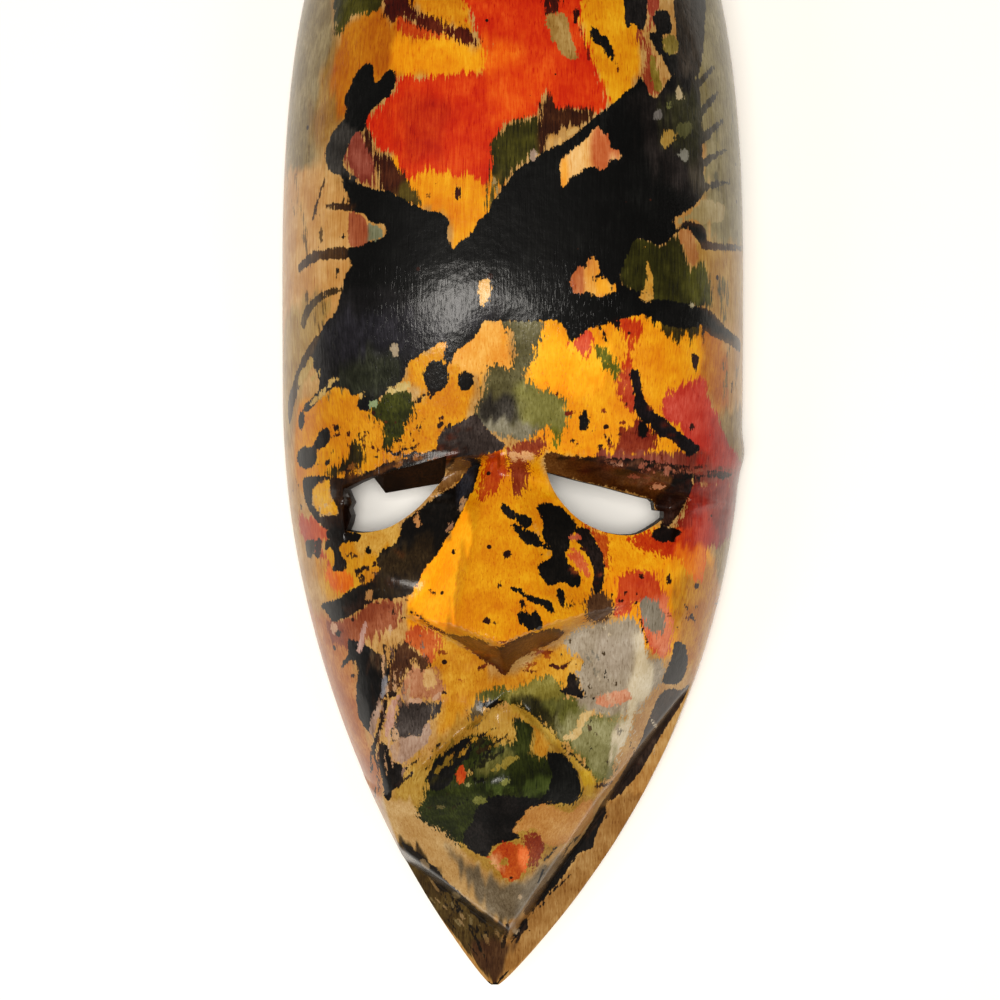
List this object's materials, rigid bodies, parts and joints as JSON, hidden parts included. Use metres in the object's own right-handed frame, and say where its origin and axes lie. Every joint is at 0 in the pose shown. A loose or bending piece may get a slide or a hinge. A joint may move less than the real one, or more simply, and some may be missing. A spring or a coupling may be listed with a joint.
{
  "type": "african tribal mask",
  "caption": "Carved wooden face mask with a long forehead, half-moon eyes, wedge nose and pointed chin, dyed in splashes of yellow, red, green and black.",
  "frame": {"origin": "middle of the flat back rim, where the mask rests", "axes": "+Z out of the face, +Y to the crown of the forehead, +X to the right of a viewer who faces it"},
  "size_m": [0.1398, 0.3674, 0.0625],
  "materials": {
    "dyed_wood": "dyed in splashes and varnished"
  },
  "bodies": {
    "root": {"mask": "dyed_wood"}
  },
  "joints": []
}
